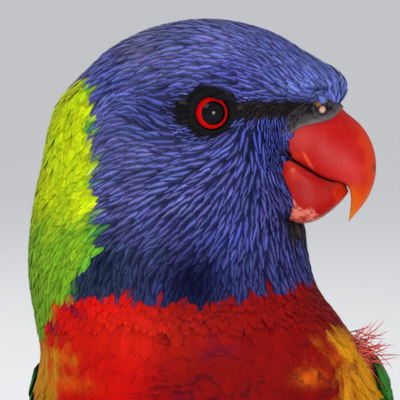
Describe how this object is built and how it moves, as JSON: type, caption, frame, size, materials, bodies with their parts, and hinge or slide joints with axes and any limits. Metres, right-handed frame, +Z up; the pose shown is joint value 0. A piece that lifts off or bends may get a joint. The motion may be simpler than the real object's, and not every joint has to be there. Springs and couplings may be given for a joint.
{
  "type": "parrot model",
  "caption": "Life-size standing rainbow lorikeet with its head turned over its left shoulder, folded wings and a long pointed tail laid on the floor.",
  "frame": {"origin": "on the floor, under the middle of the box round the whole bird", "axes": "+X the way the breast faces, away from the tail; +Y the bird's left, which the turned head faces; +Z up"},
  "size_m": [0.2032, 0.074, 0.1679],
  "materials": {
    "head_plumage": "violet-blue streaked feathers",
    "neck_plumage": "violet-blue throat with a yellow-green collar",
    "breast_plumage": "red breast barred with blue-black",
    "tail_plumage": "green tail feathers",
    "wing_plumage": "green flight feathers and coverts",
    "thigh_plumage": "yellow-green thigh feathers",
    "leg_skin": "grey scaly skin",
    "claw_horn": "dark horn",
    "bill_horn": "red horn, satin",
    "cere_skin": "dark grey bare skin",
    "eye_gloss": "wet gloss, red iris round a black pupil",
    "lid_skin": "black bare skin"
  },
  "bodies": {
    "root": {"head": "head_plumage", "neck": "neck_plumage", "torso": "breast_plumage", "tail": "tail_plumage", "wing_left": "wing_plumage", "wing_right": "wing_plumage", "thigh_left": "thigh_plumage", "thigh_right": "thigh_plumage", "shank_left": "leg_skin", "shank_right": "leg_skin", "foot_left": "leg_skin", "foot_right": "leg_skin", "claw_left_1": "claw_horn", "claw_left_2": "claw_horn", "claw_left_3": "claw_horn", "claw_left_4": "claw_horn", "claw_right_1": "claw_horn", "claw_right_2": "claw_horn", "claw_right_3": "claw_horn", "claw_right_4": "claw_horn", "beak_upper": "bill_horn", "beak_lower": "bill_horn", "cere": "cere_skin", "eye_left": "eye_gloss", "eye_right": "eye_gloss", "eyelid_left": "lid_skin", "eyelid_right": "lid_skin"}
  },
  "joints": []
}
